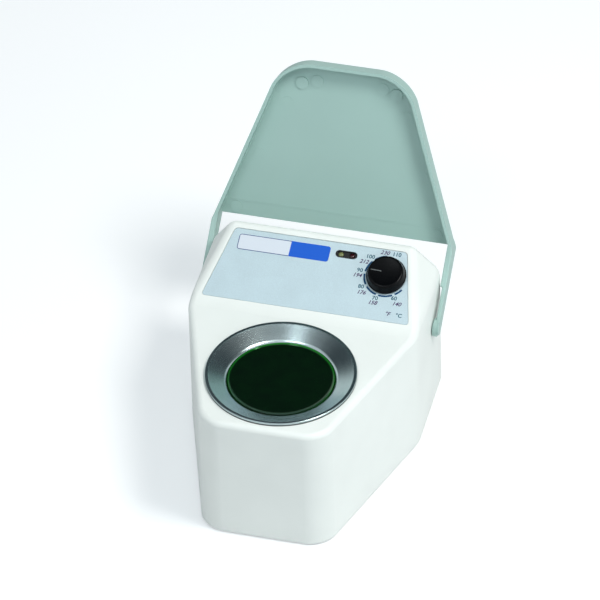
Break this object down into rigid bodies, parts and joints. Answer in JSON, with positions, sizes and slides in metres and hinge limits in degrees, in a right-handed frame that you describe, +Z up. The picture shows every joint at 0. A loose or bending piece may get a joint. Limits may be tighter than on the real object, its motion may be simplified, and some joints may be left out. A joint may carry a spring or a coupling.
{
  "type": "dental lab wax heater",
  "caption": "Heated dipping-wax pot in a moulded housing, with a sloping thermostat panel and a shallow lid on two arms that swings up and back.",
  "frame": {"origin": "on the table, under the middle of the whole part with its lid open", "axes": "+Z up, -Y towards the user, +X to the user's right"},
  "size_m": [0.1224, 0.1824, 0.1538],
  "materials": {
    "housing": "pale cream-green moulded plastic, fine satin texture",
    "lid": "pale grey-green moulded plastic",
    "panel": "satin silver sheet with printed dial",
    "knob": "glossy black",
    "pointer": "pale grey inlay",
    "lamp_clear": "pale green translucent",
    "lamp_red": "red translucent",
    "lamp_holder": "black moulded",
    "pot": "anodised, turned",
    "wax": "solid dipping wax, dark green",
    "rubber": "soft black",
    "gasket": "silicone",
    "steel": "zinc plated",
    "brass": "bare",
    "base": "grey moulded",
    "control": "dark moulded",
    "copper": "drawn tube",
    "heater": "mica heater in a steel jacket",
    "insulation": "glass fibre felt",
    "inlet": "black moulded",
    "pin": "nickel plated"
  },
  "bodies": {
    "housing": {"housing_shell": "housing", "base_plate": "base", "rubber_feet": "rubber", "base_screws": "steel", "panel_plate": "panel", "lamp_holder": "lamp_holder", "power_lamp": "lamp_clear", "heating_lamp": "lamp_red", "thermostat_body": "control", "thermostat_screws": "steel", "sensor_bulb": "copper", "capillary_tube": "copper", "dipping_pot": "pot", "wax_fill": "wax", "pot_gasket": "gasket", "pot_spacer": "insulation", "pot_screw": "steel", "heater_band": "heater", "heater_clamp_screw": "steel", "insulation_sleeve": "insulation", "temperature_limiter": "control", "limiter_screws": "steel", "power_inlet": "inlet", "inlet_pins": "pin", "inlet_screws": "steel", "terminal_block": "base", "terminal_screws": "brass"},
    "knob": {"control_knob": "knob", "knob_pointer": "pointer", "thermostat_shaft": "steel"},
    "lid": {"lid": "lid"}
  },
  "joints": [
    {"name": "lid_hinge", "type": "hinge", "parent": "housing", "child": "lid", "pos_m": [0, 0.02351, 0.0489], "axis": [1, 0, 0], "range_deg": [0, 111.5]},
    {"name": "knob_turn", "type": "hinge", "parent": "housing", "child": "knob", "pos_m": [0.0358, 0.01781, 0.08253], "axis": [0, -0.3907, 0.9205], "range_deg": [-81.6, 147.9]}
  ]
}
